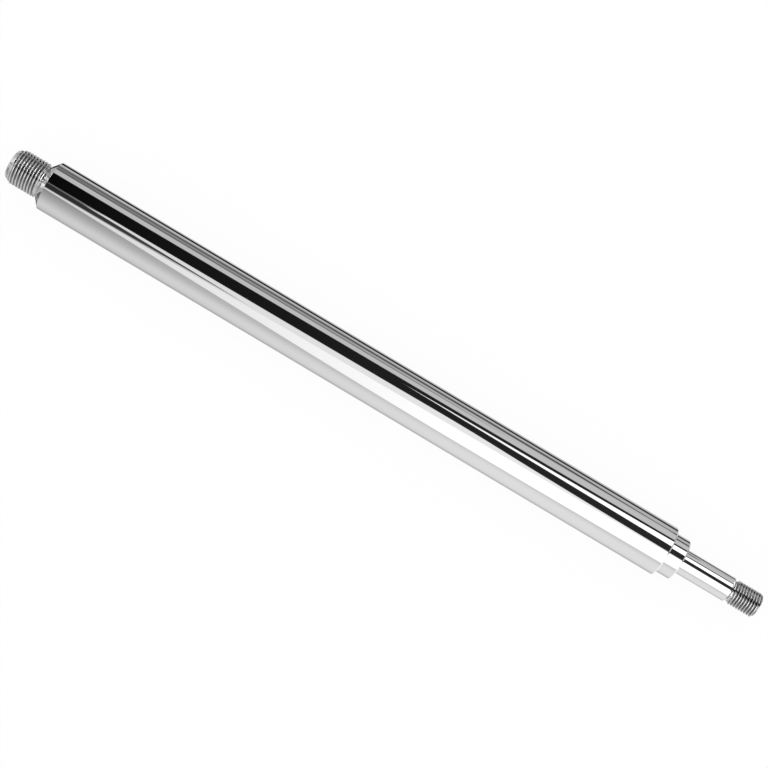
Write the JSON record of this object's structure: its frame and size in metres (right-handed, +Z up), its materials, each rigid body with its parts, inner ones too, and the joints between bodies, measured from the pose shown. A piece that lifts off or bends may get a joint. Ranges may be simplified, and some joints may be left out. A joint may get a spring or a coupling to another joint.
{
  "type": "shock absorber shaft",
  "caption": "Hard chromed piston shaft of a shock absorber: threaded stud, cone shoulder, ground body, collar, slim piston spigot and nut thread.",
  "frame": {"origin": "on the shaft's axis, where the end stud's full thread stops at the relief", "axes": "+X along the axis from the end stud to the nut thread; +Z up, with the shaft level"},
  "size_m": [0.3636, 0.0222, 0.0222],
  "materials": {
    "hard_chrome": "hard chrome plate on ground steel, polished bright"
  },
  "bodies": {
    "root": {"shaft": "hard_chrome"}
  },
  "joints": []
}
